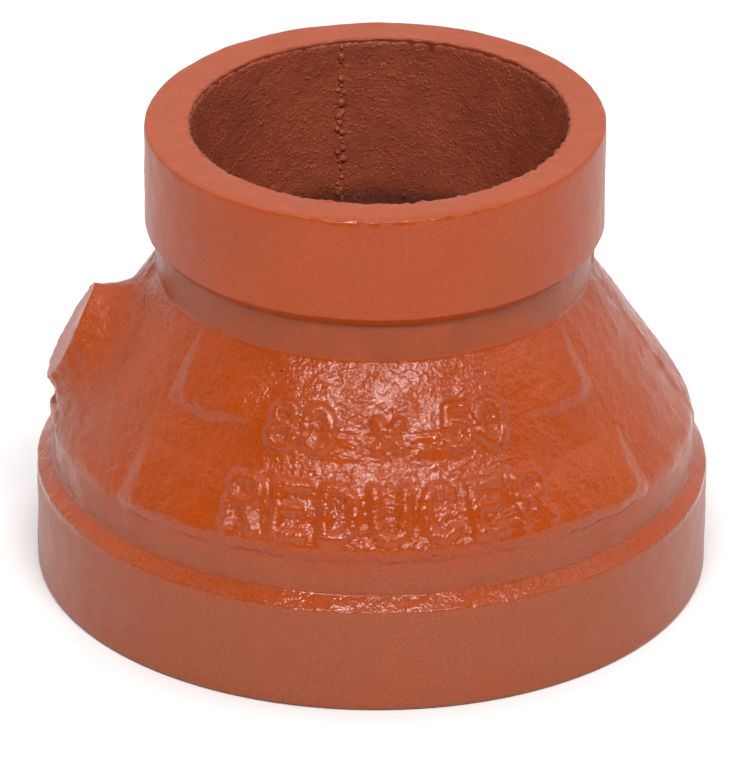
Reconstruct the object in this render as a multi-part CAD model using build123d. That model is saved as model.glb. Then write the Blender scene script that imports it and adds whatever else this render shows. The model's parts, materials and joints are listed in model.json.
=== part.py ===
from build123d import *
import os
from math import atan2, cos, hypot, sin

# Cast concentric reducer for grooved pipe, 3 inch by 2 inch nominal size, cast in one piece.
# The origin is the centre of the large end face. +Z runs along the pipe axis to the small end,
# the raised marking plates face -Y and the cut-off gate stub faces -X. Millimetres throughout.

# Driving dimensions of the two ends
END_TO_END = 63.5            # one face to the other, 2 1/2 in
LARGE_OD = 88.9              # land of the 3 in end
SMALL_OD = 60.3              # land of the 2 in end
LARGE_GROOVE_OD = 84.94
SMALL_GROOVE_OD = 57.15
GROOVE_START = 15.88         # end face to the near side of the groove floor, 0.625 in
SHOULDER_RUN = 1.6           # length of the sloping wall between a land and its groove floor
LARGE_GROOVE_FLOOR = 5.7
SMALL_GROOVE_FLOOR = 5.2

# Waterway. The core that formed it sat a little to one side of the mould.
SMALL_BORE = 49.3
LARGE_BORE = 77.8
CORE_SHIFT = 0.55            # of the whole waterway, towards +X
SMALL_BORE_RUN = 22.0        # straight length behind the small end face
LARGE_BORE_RUN = 16.5        # straight length behind the large end face
BORE_BEND = 6.0              # radius where the straight bores meet the taper

# Roundings of the outside
LAND_EDGE = 0.4
SHOULDER_EDGE = 0.5
GROOVE_CORNER = 0.5
CONE_FOOT = 4.0              # convex bend from the large groove floor into the cone
CONE_NECK = 1.0              # concave bend from the cone into the small groove floor
BORE_EDGE = 0.45

# Raised marking plates on the cone, measured round the axis from -Y, positive towards +X
PLATE_RISE = 0.9             # along its lower edge, falling to nothing along its upper edge
PLATE_BEVEL = 0.9            # of the lower edge, along the pipe axis
PLATE_ROOT = 1.5             # how far a plate's underside is sunk into the wall
UPPER_PLATE_ANGLES = (-51.0, 56.0)
UPPER_PLATE_HEIGHTS = (33.9, 42.0)
LOWER_PLATE_ANGLES = (-51.0, 58.0)
LOWER_PLATE_HEIGHTS = (21.9, 28.2)

# Stub of the gate through which the metal was poured, sawn off flat, on the mould joint
GATE_FACE_TOP = (-36.7, 39.1)        # x, z of the upper end of the flat
GATE_FACE_FOOT = (-43.1, 25.8)       # x, z of the lower end of the flat
GATE_FACE_HALF_WIDTH = 3.6
GATE_ROOT_DEPTH = 7.0                # from the flat to the buried end of the stub
GATE_ROOT_HALF_WIDTH = 8.0
GATE_TOP_GROWTH = 4.0                # how far the buried end reaches past the flat towards the neck
GATE_FOOT_GROWTH = 1.5               # and past it towards the large groove

# Worked out from the above
LARGE_R = LARGE_OD / 2
SMALL_R = SMALL_OD / 2
LARGE_GROOVE_R = LARGE_GROOVE_OD / 2
SMALL_GROOVE_R = SMALL_GROOVE_OD / 2
CONE_FOOT_Z = GROOVE_START + LARGE_GROOVE_FLOOR
CONE_NECK_Z = END_TO_END - GROOVE_START - SMALL_GROOVE_FLOOR
CONE_HEIGHT = CONE_NECK_Z - CONE_FOOT_Z
CONE_CLIMB = LARGE_GROOVE_R - SMALL_GROOVE_R
CONE_SLANT = hypot(CONE_HEIGHT, CONE_CLIMB)


def on_cone(height, outwards=0.0):
    """Radius and height of the point that stands outwards mm off the cone where it is height mm up."""
    radius = LARGE_GROOVE_R - CONE_CLIMB * (height - CONE_FOOT_Z) / CONE_HEIGHT
    return (
        radius + outwards * CONE_HEIGHT / CONE_SLANT,
        height + outwards * CONE_CLIMB / CONE_SLANT,
    )


def half_section(outline, radii):
    """Closed face in the XZ plane from (radius, height) corners, each rounded by its own radius."""
    corners = [(radius, 0, height) for radius, height in outline]
    return make_face(FilletPolyline(*corners, radius=radii, close=True))


def casting_blank():
    """Solid outside shape of both ends, both grooves and the cone, with no waterway."""
    outline = [
        (0, 0),
        (LARGE_R, 0),
        (LARGE_R, GROOVE_START - SHOULDER_RUN),
        (LARGE_GROOVE_R, GROOVE_START),
        (LARGE_GROOVE_R, CONE_FOOT_Z),
        (SMALL_GROOVE_R, CONE_NECK_Z),
        (SMALL_GROOVE_R, END_TO_END - GROOVE_START),
        (SMALL_R, END_TO_END - GROOVE_START + SHOULDER_RUN),
        (SMALL_R, END_TO_END),
        (0, END_TO_END),
    ]
    radii = [
        0,
        LAND_EDGE,
        SHOULDER_EDGE,
        GROOVE_CORNER,
        CONE_FOOT,
        CONE_NECK,
        GROOVE_CORNER,
        SHOULDER_EDGE,
        LAND_EDGE,
        0,
    ]
    return revolve(half_section(outline, radii), Axis.Z)


def waterway():
    """The core: straight behind each face, tapered between, with its mouths flared over the edges."""
    small_r = SMALL_BORE / 2
    large_r = LARGE_BORE / 2
    outline = [
        (0, 0),
        (large_r + BORE_EDGE, 0),
        (large_r, BORE_EDGE),
        (large_r, LARGE_BORE_RUN),
        (small_r, END_TO_END - SMALL_BORE_RUN),
        (small_r, END_TO_END - BORE_EDGE),
        (small_r + BORE_EDGE, END_TO_END),
        (0, END_TO_END),
    ]
    radii = [0, 0, 0, BORE_BEND, BORE_BEND, 0, 0, 0]
    core = revolve(half_section(outline, radii), Axis.Z)
    return Pos(CORE_SHIFT, 0, 0) * core


def marking_plate(angles, heights):
    """One raised plate on the cone: flush with it at the top, standing proud at the bottom."""
    low, high = heights
    start, end = angles
    outline = [
        on_cone(low, -PLATE_ROOT),
        on_cone(low),
        on_cone(low + PLATE_BEVEL, PLATE_RISE),
        on_cone(high),
        on_cone(high, -PLATE_ROOT),
    ]
    face = make_face(Polyline(*[(radius, 0, height) for radius, height in outline], close=True))
    return Rot(0, 0, start - 90) * revolve(face, Axis.Z, revolution_arc=end - start)


def gate_stub():
    """Tapered stub of oval section, its outer end the flat that the saw left."""
    top_x, top_z = GATE_FACE_TOP
    foot_x, foot_z = GATE_FACE_FOOT
    half_length = hypot(top_x - foot_x, top_z - foot_z) / 2
    lean = atan2(top_x - foot_x, top_z - foot_z)
    centre = Vector((top_x + foot_x) / 2, 0, (top_z + foot_z) / 2)
    outward = Vector(-cos(lean), 0, sin(lean))
    up_the_face = Vector(sin(lean), 0, cos(lean))
    climb = up_the_face * (GATE_TOP_GROWTH - GATE_FOOT_GROWTH) / 2
    root_centre = centre - outward * GATE_ROOT_DEPTH + climb
    root_half_length = half_length + (GATE_TOP_GROWTH + GATE_FOOT_GROWTH) / 2
    flat = Plane(origin=centre, x_dir=up_the_face, z_dir=outward)
    root = Plane(origin=root_centre, x_dir=up_the_face, z_dir=outward)
    return loft([
        root * Ellipse(root_half_length, GATE_ROOT_HALF_WIDTH),
        flat * Ellipse(half_length, GATE_FACE_HALF_WIDTH),
    ])


def reducer_casting():
    """The whole casting."""
    outside = casting_blank()
    outside += marking_plate(UPPER_PLATE_ANGLES, UPPER_PLATE_HEIGHTS)
    outside += marking_plate(LOWER_PLATE_ANGLES, LOWER_PLATE_HEIGHTS)
    outside += gate_stub()
    return outside - waterway()


os.makedirs("parts", exist_ok=True)
export_step(reducer_casting(), "parts/reducer_casting.step")
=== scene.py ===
"""A cast and enamelled reducer for grooved pipe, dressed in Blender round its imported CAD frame."""
import json
import logging
import math
from collections.abc import Callable
from dataclasses import dataclass, field
from enum import Enum

import bmesh
import bpy
import numpy as np
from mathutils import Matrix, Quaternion, Vector


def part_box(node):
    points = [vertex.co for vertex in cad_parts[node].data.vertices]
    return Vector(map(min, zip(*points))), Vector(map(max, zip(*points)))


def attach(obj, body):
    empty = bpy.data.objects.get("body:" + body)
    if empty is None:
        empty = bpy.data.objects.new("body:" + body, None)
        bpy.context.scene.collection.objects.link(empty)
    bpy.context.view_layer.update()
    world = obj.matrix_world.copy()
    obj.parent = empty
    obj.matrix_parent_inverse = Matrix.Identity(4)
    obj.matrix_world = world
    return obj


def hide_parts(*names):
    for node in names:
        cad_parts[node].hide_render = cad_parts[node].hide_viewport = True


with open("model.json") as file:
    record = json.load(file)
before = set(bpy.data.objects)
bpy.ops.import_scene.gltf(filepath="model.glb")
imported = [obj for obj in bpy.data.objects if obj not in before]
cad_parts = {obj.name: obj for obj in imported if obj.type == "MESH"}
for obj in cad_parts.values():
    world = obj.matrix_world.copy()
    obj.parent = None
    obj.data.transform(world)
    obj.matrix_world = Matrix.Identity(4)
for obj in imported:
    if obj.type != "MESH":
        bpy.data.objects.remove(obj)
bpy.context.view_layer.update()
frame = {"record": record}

MM = 0.001
TINY = 1e-6
BODY = "root"
CASTING_NODE = "reducer_casting"

log = logging.getLogger("reducer")

Colour = tuple[float, float, float]


class Mask(Enum):
    """The masks that a piece's points carry from its mesh to its trees and its finish."""

    SAND = "sand"
    LARGE_END_SHADE = "tone"
    RIPPLED = "rippled"
    INNER = "inner"
    SHADED = "shaded"
    FREE = "free"


def smooth_step(low: float, high: float, value: np.ndarray) -> np.ndarray:
    """A soft switch from 0 to 1.

    Args:
        low: where it starts to rise.
        high: where it has reached 1.
        value: what is switched.

    Returns:
        The switch's value for each number in value.
    """
    share = np.clip((value - low) / (high - low), 0.0, 1.0)
    return share * share * (3.0 - 2.0 * share)


def bell(distance: np.ndarray, width: float) -> np.ndarray:
    """A round hump, 1 at no distance and about a third at width."""
    return np.exp(-((distance / width) ** 2))


def soft_least(first: np.ndarray, second: np.ndarray, soft: float) -> np.ndarray:
    """The lesser of two heights, the crossing between them rounded over soft mm."""
    gap = np.maximum(soft - np.abs(first - second), 0.0) / soft
    return np.minimum(first, second) - gap * gap * soft / 4.0


class Ripple:
    """Seeded unevenness without direction: plane waves of about one length, summed."""

    SPREAD = (0.75, 1.35)

    def __init__(self, length: float, seed: int, waves: int = 28) -> None:
        """Draws the waves.

        Args:
            length: the usual distance between crests, in mm.
            seed: what fixes the draw.
            waves: how many waves are summed.
        """
        draw = np.random.default_rng(seed)
        directions = draw.normal(size=(waves, 3))
        directions /= np.linalg.norm(directions, axis=1)[:, None]
        spread = draw.uniform(*self.SPREAD, size=(waves, 1))
        self.numbers = directions * spread * 2.0 * math.pi / length
        self.phases = draw.uniform(0.0, 2.0 * math.pi, size=waves)

    def at(self, places: np.ndarray) -> np.ndarray:
        """The unevenness at a number of places.

        Args:
            places: one place in mm per row.

        Returns:
            The unevenness at each, mostly between -1 and 1.
        """
        total = np.zeros(len(places))
        for number, phase in zip(self.numbers, self.phases):
            total += np.cos(places @ number + phase)
        return total / math.sqrt(len(self.phases))


# ---------------------------------------------------------------- the half section


@dataclass(frozen=True)
class Corner:
    """One corner of the half section, in mm: its place and how far it is rounded."""

    name: str
    radius: float
    height: float
    rounding: float
    row_pitch: float = 1.3


class Outline:
    """The casting's half section, walked once round from the large mouth's edge, in mm."""

    STEP = 0.04
    ARC_POINTS = 16
    SMALL_ROUNDING = 1.5
    ROWS_ON_A_SMALL_ROUNDING = 3

    def __init__(self, corners: list[Corner]) -> None:
        """Rounds the corners and measures the walk.

        Args:
            corners: the corners in walking order, with the open air on the right.
        """
        self.corners = corners
        points: list[np.ndarray] = []
        spans: list[tuple[int, int]] = []
        for index, corner in enumerate(corners):
            before = corners[index - 1]
            after = corners[(index + 1) % len(corners)]
            arc = self.rounded(before, corner, after)
            spans.append((len(points), len(points) + len(arc) - 1))
            points.extend(arc)
        loop = np.array(points + [points[0]])
        walked = np.concatenate([[0.0], np.cumsum(np.linalg.norm(np.diff(loop, axis=0), axis=1))])
        self.length = float(walked[-1])
        self.spans = {
            corner.name: (float(walked[first]), float(walked[last]))
            for corner, (first, last) in zip(corners, spans)
        }
        count = int(self.length / self.STEP)
        self.along = np.linspace(0.0, self.length, count + 1)
        self.radius = np.interp(self.along, walked, loop[:, 0])
        self.height = np.interp(self.along, walked, loop[:, 1])
        slope_r, slope_z = (
            np.gradient(np.concatenate([ring[-3:-1], ring, ring[1:3]]))[2:-2]
            for ring in (self.radius, self.height)
        )
        size = np.hypot(slope_r, slope_z)
        self.normal_r = slope_z / size
        self.normal_z = -slope_r / size

    def rounded(self, before: Corner, corner: Corner, after: Corner) -> list[np.ndarray]:
        """Rounds one corner.

        Args:
            before: the corner walked from.
            corner: the corner that is rounded.
            after: the corner walked to.

        Returns:
            Points on the arc, from its first tangent point to its last.
        """
        here = np.array([corner.radius, corner.height])
        arriving = here - np.array([before.radius, before.height])
        leaving = np.array([after.radius, after.height]) - here
        arriving /= np.linalg.norm(arriving)
        leaving /= np.linalg.norm(leaving)
        turn = math.acos(float(np.clip(arriving @ leaving, -1.0, 1.0)))
        reach = corner.rounding * math.tan(turn / 2)
        side = math.copysign(1.0, arriving[0] * leaving[1] - arriving[1] * leaving[0])
        inward = np.array([-arriving[1], arriving[0]]) * side
        centre = here - arriving * reach + inward * corner.rounding
        arc = []
        for share in np.linspace(0.0, 1.0, self.ARC_POINTS):
            angle = turn * share
            arc.append(centre - inward * corner.rounding * math.cos(angle)
                       + arriving * corner.rounding * math.sin(angle))
        return arc

    def middle(self, name: str) -> float:
        """How far along the walk the middle of a named corner is."""
        first, last = self.spans[name]
        return (first + last) / 2

    def at(self, along: np.ndarray) -> tuple[np.ndarray, np.ndarray, np.ndarray, np.ndarray]:
        """Looks the half section up.

        Args:
            along: places along the walk, in mm.

        Returns:
            Radius, height and the outward normal's two parts at each.
        """
        return (
            np.interp(along, self.along, self.radius),
            np.interp(along, self.along, self.height),
            np.interp(along, self.along, self.normal_r),
            np.interp(along, self.along, self.normal_z),
        )

    def along_outside(self, height: float) -> float:
        """Finds a height on the outside surface.

        Args:
            height: the height, in mm.

        Returns:
            How far along the walk the outside reaches it.
        """
        first = self.spans["large land foot"][1]
        last = self.spans["small land top"][0]
        outside = (self.along >= first) & (self.along <= last)
        return float(np.interp(height, self.height[outside], self.along[outside]))

    def rows(self) -> list[float]:
        """Spaces the unrolled skin's rows: close together on roundings, wider between.

        Returns:
            How far along the walk each row is.
        """
        rows: list[float] = []
        for index, corner in enumerate(self.corners):
            first, last = self.spans[corner.name]
            if corner.rounding < self.SMALL_ROUNDING:
                count = self.ROWS_ON_A_SMALL_ROUNDING
            else:
                count = max(2, math.ceil((last - first) / corner.row_pitch))
            rows.extend(np.linspace(first, last, count, endpoint=False))
            following = self.corners[(index + 1) % len(self.corners)]
            start = self.spans[following.name][0] or self.length
            count = max(1, round((start - last) / corner.row_pitch))
            rows.extend(np.linspace(last, start, count, endpoint=False))
        return rows + [self.length]


@dataclass
class CastingSizes:
    """Sizes of the casting in mm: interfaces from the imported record, roundings as cast."""

    end_to_end: float
    small_land: float
    large_land: float
    small_groove: float
    large_groove: float
    small_bore: float
    large_bore: float
    core_shift: float
    groove_start: float = 15.88
    shoulder_run: float = 1.6
    small_groove_floor: float = 5.2
    large_groove_floor: float = 5.7
    small_bore_run: float = 22.0
    large_bore_run: float = 16.5
    land_edge: float = 0.4
    mouth_edge: float = 0.24
    shoulder_edge: float = 0.5
    groove_corner: float = 0.5
    cone_foot_bend: float = 4.0
    cone_neck_bend: float = 1.0
    face_lean: tuple[float, float] = (0.0155, 0.0052)
    face_lean_from: float = 49.0
    bore_bend: float = 6.0
    lining: float = 0.12

    @classmethod
    def from_frame(cls, record: dict) -> "CastingSizes":
        """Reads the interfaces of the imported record.

        Args:
            record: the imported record, whose mounts hold radii in mm and places in metres.

        Returns:
            The casting's sizes.
        """
        mounts = {mount["name"]: mount for mount in record["mounts"]}
        radius = {name: mount["dims"].get("r_mm", 0.0) for name, mount in mounts.items()}
        low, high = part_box(CASTING_NODE)
        return cls(
            end_to_end=round((high.z - low.z) / MM, 2),
            small_land=radius["small_end_land"],
            large_land=radius["large_end_land"],
            small_groove=radius["small_end_groove"],
            large_groove=radius["large_end_groove"],
            small_bore=radius["small_end_bore"],
            large_bore=radius["large_end_bore"],
            core_shift=mounts["small_end_bore"]["pos_m"][0] / MM,
        )

    @property
    def cone_foot(self) -> float:
        """Height at which the large groove's floor ends and the cone begins."""
        return self.groove_start + self.large_groove_floor

    @property
    def cone_neck(self) -> float:
        """Height at which the cone ends and the small groove's floor begins."""
        return self.end_to_end - self.groove_start - self.small_groove_floor

    def lean_at(self, across: np.ndarray, deep: np.ndarray, height: np.ndarray) -> np.ndarray:
        """Tilts the small end's face, which was cut a little out of square.

        Args:
            across: places across the casting, in mm.
            deep: places from its front to its back, in mm.
            height: their heights, in mm.

        Returns:
            How far each place is lifted, in mm.
        """
        reach = self.end_to_end - self.face_lean_from
        share = np.clip((height - self.face_lean_from) / reach, 0, 1)
        return (self.face_lean[0] * across + self.face_lean[1] * deep) * share

    def outline(self) -> Outline:
        """The half section of the casting, without the lining of its waterway.

        Returns:
            The rounded outline.
        """
        top = self.end_to_end
        bore = self.small_bore + self.lining
        wide_bore = self.large_bore + self.lining
        coarse = 2.6
        return Outline([
            Corner("large mouth", wide_bore, 0.0, self.mouth_edge),
            Corner("large land foot", self.large_land, 0.0, self.land_edge),
            Corner("large shoulder", self.large_land, self.groove_start - self.shoulder_run,
                   self.shoulder_edge),
            Corner("large groove", self.large_groove, self.groove_start, self.groove_corner),
            Corner("cone foot", self.large_groove, self.cone_foot, self.cone_foot_bend),
            Corner("cone neck", self.small_groove, self.cone_neck, self.cone_neck_bend),
            Corner("small groove", self.small_groove, top - self.groove_start,
                   self.groove_corner),
            Corner("small shoulder", self.small_land,
                   top - self.groove_start + self.shoulder_run, self.shoulder_edge),
            Corner("small land top", self.small_land, top, self.land_edge),
            Corner("small mouth", bore, top, self.mouth_edge, coarse),
            Corner("small bore end", bore, top - self.small_bore_run, self.bore_bend, coarse),
            Corner("large bore end", wide_bore, self.large_bore_run, self.bore_bend, coarse),
        ])


# ---------------------------------------------------------------- relief on the outside


@dataclass
class SkinPoints:
    """Points of the casting's skin before any relief, in mm and degrees."""

    turn: np.ndarray
    along: np.ndarray
    outline: Outline
    sizes: CastingSizes
    radius: np.ndarray = field(init=False)
    height: np.ndarray = field(init=False)
    normal_r: np.ndarray = field(init=False)
    normal_z: np.ndarray = field(init=False)
    bore_share: np.ndarray = field(init=False)

    def __post_init__(self) -> None:
        """Looks the points up on the half section, and how far each follows the shifted core."""
        self.radius, self.height, self.normal_r, self.normal_z = self.outline.at(self.along)
        top_edge = self.outline.spans["small land top"][1]
        top_mouth = self.outline.spans["small mouth"][0]
        foot_edge = self.outline.spans["large land foot"][0]
        foot_mouth = self.outline.spans["large mouth"][1]
        share = np.interp(self.along, [foot_mouth, foot_edge, top_edge, top_mouth], [1, 0, 0, 1])
        self.bore_share = share

    def around(self, centre: float) -> np.ndarray:
        """Millimetres round the axis from the line at centre degrees, along the surface."""
        away = (self.turn - centre + 180.0) % 360.0 - 180.0
        return np.radians(away) * self.radius

    def places(self, relief: np.ndarray | float = 0.0) -> np.ndarray:
        """Rolls the points up into space.

        Args:
            relief: how far they stand off the half section, in mm.

        Returns:
            One place in mm per row.
        """
        angle = np.radians(self.turn)
        radius = self.radius + relief * self.normal_r
        across = radius * np.sin(angle) + self.sizes.core_shift * self.bore_share
        deep = -radius * np.cos(angle)
        height = self.height + relief * self.normal_z
        height = height + self.sizes.lean_at(across, deep, height)
        return np.stack([across, deep, height], axis=1)


@dataclass(frozen=True)
class MarkingPlate:
    """A raised plate on the cone that stands further proud at the bottom than along its top."""

    angles: tuple[float, float]
    heights: tuple[float, float]
    rise: float = 1.0
    top_rise: float = 0.0
    top_draft: float = 0.35
    belly: tuple[tuple[float, ...], tuple[float, ...]] = ((0.0, 0.45, 1.0), (0.0, 0.66, 1.0))
    side_draft: float = 0.33
    foot_draft: float = 0.52
    wobble: float = 0.12
    corner: float = 0.9
    edge: float = 0.12
    wobble_length: float = 6.0

    def relief(self, points: SkinPoints) -> np.ndarray:
        """How far the plate lifts the skin.

        Args:
            points: the skin's points.

        Returns:
            The lift at each point, in mm.
        """
        start, end = self.angles
        low = points.outline.along_outside(self.heights[0])
        high = points.outline.along_outside(self.heights[1])
        uneven = self.wobble * Ripple(self.wobble_length, seed=11).at(points.places())
        half_width = np.radians(end - start) / 2 * points.radius
        from_side = half_width - np.abs(points.around((start + end) / 2)) + uneven
        from_foot = points.along - low + uneven
        slopes = soft_least(self.side_draft * from_side, self.foot_draft * from_foot, self.corner)
        share = np.interp((high - points.along) / (high - low), self.belly[0], self.belly[1])
        wedge = self.top_rise + (self.rise - self.top_rise) * share
        if self.top_rise:
            wedge = soft_least(wedge, self.top_draft * (high - points.along), self.corner)
        return np.maximum(soft_least(wedge, slopes, self.edge), 0.0)


@dataclass(frozen=True)
class Valley:
    """The strip of cone between the two plates, filled up where it faces the front."""

    heights: tuple[float, ...]
    rises: tuple[float, ...]
    half_angle: float
    centre: float
    soft: float = 9.0

    def relief(self, points: SkinPoints) -> np.ndarray:
        """How far the filling lifts the skin.

        Args:
            points: the skin's points.

        Returns:
            The lift at each point, in mm.
        """
        along = [points.outline.along_outside(height) for height in self.heights]
        fill = np.interp(points.along, along, self.rises)
        across = np.abs(points.around(self.centre)) - np.radians(self.half_angle) * points.radius
        return fill * (1.0 - smooth_step(-self.soft, 0.0, across))


@dataclass(frozen=True)
class GateStub:
    """What is left of the gate after sawing: a flared stub with a flat oval end."""

    top: tuple[float, float] = (-36.7, 39.1)
    foot: tuple[float, float] = (-43.1, 25.8)
    half_width: float = 3.9
    taper: float = 0.28
    flare_side: float = 8.5
    flare_top: float = 5.2
    flare_foot: float = 2.0
    sharpness: float = 1.8
    centre: float = -90.0
    reach: float = 24.0
    lowest: float = 17.0
    highest: float = 47.0
    drop: float = 0.46
    longest: float = 1.6
    edge: tuple[float, float] = (0.9, 1.02)
    least_facing: float = 0.3

    @property
    def facing(self) -> np.ndarray:
        """Outward normal of the sawn flat."""
        run, rise = self.top[0] - self.foot[0], self.top[1] - self.foot[1]
        return np.array([-rise, 0.0, run]) / math.hypot(run, rise)

    def depth(self, places: np.ndarray, normals: np.ndarray) -> np.ndarray:
        """How far the sawn flat lies out from the skin.

        Args:
            places: places on the skin, in mm.
            normals: the skin's normals there.

        Returns:
            The distance from each place to the flat, along its normal, in mm.
        """
        centre = np.array([(self.top[0] + self.foot[0]) / 2, 0.0, (self.top[1] + self.foot[1]) / 2])
        towards = np.maximum(normals @ self.facing, self.least_facing)
        return ((centre - places) @ self.facing) / towards

    def shape(self, points: SkinPoints) -> tuple[np.ndarray, np.ndarray]:
        """How far the stub stands off the skin.

        Args:
            points: the skin's points.

        Returns:
            The lift at each point in mm, and a mask of the sawn flat.
        """
        outline = points.outline
        upper, lower = (
            outline.along_outside(
                height - (-across - self.cone_radius(outline, height)) * self.drop)
            for across, height in (self.top, self.foot)
        )
        half_length = (upper - lower) / 2
        sideways = points.around(self.centre)
        upwards = points.along - (upper + lower) / 2
        share = np.clip(upwards / half_length, -self.longest, self.longest)
        width = self.half_width * (1.0 - self.taper * share)
        oval = np.sqrt((sideways / width) ** 2 + (upwards / half_length) ** 2) + TINY
        inside = np.maximum(oval, 1.0)
        rim_along = (upper + lower) / 2 + upwards / inside
        rim_radius, rim_height, rim_nr, rim_nz = outline.at(rim_along)
        angle = math.radians(self.centre) + sideways / inside / points.radius
        places = np.stack([rim_radius * np.sin(angle), -rim_radius * np.cos(angle), rim_height], 1)
        normals = np.stack([rim_nr * np.sin(angle), -rim_nr * np.cos(angle), rim_nz], 1)
        stand = np.maximum(self.depth(places, normals), 0.0)
        beyond = np.hypot(sideways, upwards) * (1.0 - 1.0 / inside)
        sine = np.clip(upwards / half_length / oval, -1.0, 1.0)
        ends = np.where(upwards > 0, self.flare_top, self.flare_foot)
        flare = self.flare_side * (1.0 - sine**2) + ends * sine**2
        fall = np.clip(1.0 - beyond / flare, 0.0, 1.0) ** self.sharpness
        near = np.abs(sideways) < self.reach
        near &= (points.height > self.lowest) & (points.height < self.highest)
        near &= points.along < outline.middle("small groove")
        sawn = (1.0 - smooth_step(*self.edge, oval)) * near
        return stand * fall * near, sawn

    @staticmethod
    def cone_radius(outline: Outline, height: float) -> float:
        """Radius of the outside at a height."""
        return float(outline.at(np.array([outline.along_outside(height)]))[0][0])


@dataclass(frozen=True)
class MouldJoint:
    """The fine ridge where the two halves of the sand mould met."""

    angles: tuple[float, ...] = (-90.0, 90.0)
    rise: float = 0.32
    width: float = 0.55
    lowest: float = 17.5
    highest: float = 47.0
    fade: float = 2.0
    cloud: tuple[float, float] = (0.75, 0.35)
    limits: tuple[float, float] = (0.2, 1.3)
    cloud_length: float = 3.5

    def relief(self, points: SkinPoints) -> np.ndarray:
        """How far the ridge lifts the skin.

        Args:
            points: the skin's points.

        Returns:
            The lift at each point, in mm.
        """
        even, cloud = self.cloud
        uneven = even + cloud * Ripple(self.cloud_length, seed=23).at(points.places())
        ends = smooth_step(self.lowest, self.lowest + self.fade, points.height)
        ends *= 1.0 - smooth_step(self.highest - self.fade, self.highest, points.height)
        ridge = np.zeros(len(points.turn))
        for angle in self.angles:
            ridge += bell(points.around(angle), self.width)
        return self.rise * ridge * ends * np.clip(uneven, *self.limits)


# ---------------------------------------------------------------- raised characters


LEAST_BOW_PIECES = 4
DEGREES_PER_BOW_PIECE = 18.0


def line(*points: tuple[float, float]) -> list[tuple[float, float]]:
    """A straight-sided stroke through points, in glyph units: 1 wide and 1 high."""
    return list(points)


def bow(centre: tuple[float, float], size: tuple[float, float], start: float, end: float,
        ) -> list[tuple[float, float]]:
    """A curved stroke along an oval.

    Args:
        centre: the oval's centre.
        size: its half width and half height.
        start: where the stroke begins, in degrees from the right, anticlockwise.
        end: where it ends.

    Returns:
        The stroke's points.
    """
    count = max(LEAST_BOW_PIECES, round(abs(end - start) / DEGREES_PER_BOW_PIECE))
    angles = np.radians(np.linspace(start, end, count + 1))
    return [(centre[0] + size[0] * math.cos(a), centre[1] + size[1] * math.sin(a)) for a in angles]


GLYPHS: dict[str, list[list[tuple[float, float]]]] = {
    "0": [bow((0.5, 0.5), (0.46, 0.5), 0, 360)],
    "5": [line((0.88, 1.0), (0.2, 1.0), (0.13, 0.56)), bow((0.47, 0.33), (0.45, 0.33), 142, -148)],
    "8": [bow((0.5, 0.27), (0.45, 0.27), 0, 360), bow((0.5, 0.77), (0.37, 0.23), 0, 360)],
    "x": [line((0.1, 0.1), (0.9, 0.75)), line((0.1, 0.75), (0.9, 0.1))],
    "C": [bow((0.52, 0.5), (0.48, 0.5), 48, 312)],
    "D": [
        line((0.38, 0.0), (0.05, 0.0), (0.05, 1.0), (0.38, 1.0)),
        bow((0.38, 0.5), (0.55, 0.5), -90, 90),
    ],
    "E": [
        line((0.88, 1.0), (0.08, 1.0), (0.08, 0.0), (0.9, 0.0)),
        line((0.08, 0.52), (0.72, 0.52)),
    ],
    "R": [
        line((0.05, 0.0), (0.05, 1.0), (0.55, 1.0)),
        bow((0.55, 0.75), (0.36, 0.25), 90, -90),
        line((0.55, 0.5), (0.05, 0.5)),
        line((0.5, 0.5), (0.95, 0.0)),
    ],
    "U": [
        line((0.06, 1.0), (0.06, 0.38)),
        bow((0.5, 0.38), (0.44, 0.38), 180, 360),
        line((0.94, 0.38), (0.94, 1.0)),
    ],
}


@dataclass(frozen=True)
class RaisedText:
    """A row of raised characters that follows the cone, in mm and degrees."""

    text: str
    centre: float
    foot: float
    height: float
    width: float
    pitch: float
    stroke: float = 0.68
    soft: float = 0.5
    rise: float = 0.58
    spare: float = 0.2

    def relief(self, points: SkinPoints) -> np.ndarray:
        """How far the characters lift the skin.

        Args:
            points: the skin's points.

        Returns:
            The lift at each point, in mm.
        """
        base = points.outline.along_outside(self.foot)
        upwards = points.along - base
        margin = self.stroke + self.soft + self.spare
        relief = np.zeros(len(points.turn))
        band = (upwards > -margin) & (upwards < self.height + margin)
        for index, character in enumerate(self.text):
            if character == " ":
                continue
            turn = self.centre + self.pitch * (index - (len(self.text) - 1) / 2)
            sideways = points.around(turn) + self.width / 2
            chosen = band & (sideways > -margin) & (sideways < self.width + margin)
            chosen = np.nonzero(chosen)[0]
            here = np.stack([sideways[chosen], upwards[chosen]], axis=1)
            nearest = np.full(len(chosen), np.inf)
            for stroke in GLYPHS[character]:
                joints = np.array(stroke) * (self.width, self.height)
                for start, end in zip(joints[:-1], joints[1:]):
                    nearest = np.minimum(nearest, self.distance(here, start, end))
            lift = 1.0 - smooth_step(self.stroke - self.soft, self.stroke + self.soft, nearest)
            relief[chosen] = np.maximum(relief[chosen], self.rise * lift)
        return relief

    @staticmethod
    def distance(here: np.ndarray, start: np.ndarray, end: np.ndarray) -> np.ndarray:
        """Measures how far points are from a straight piece of stroke.

        Args:
            here: the points, one per row.
            start: the piece's first end.
            end: its last end.

        Returns:
            The distance of each point from the piece.
        """
        run = end - start
        share = np.clip(((here - start) @ run) / (run @ run), 0.0, 1.0)
        return np.linalg.norm(here - start - share[:, None] * run, axis=1)


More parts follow.
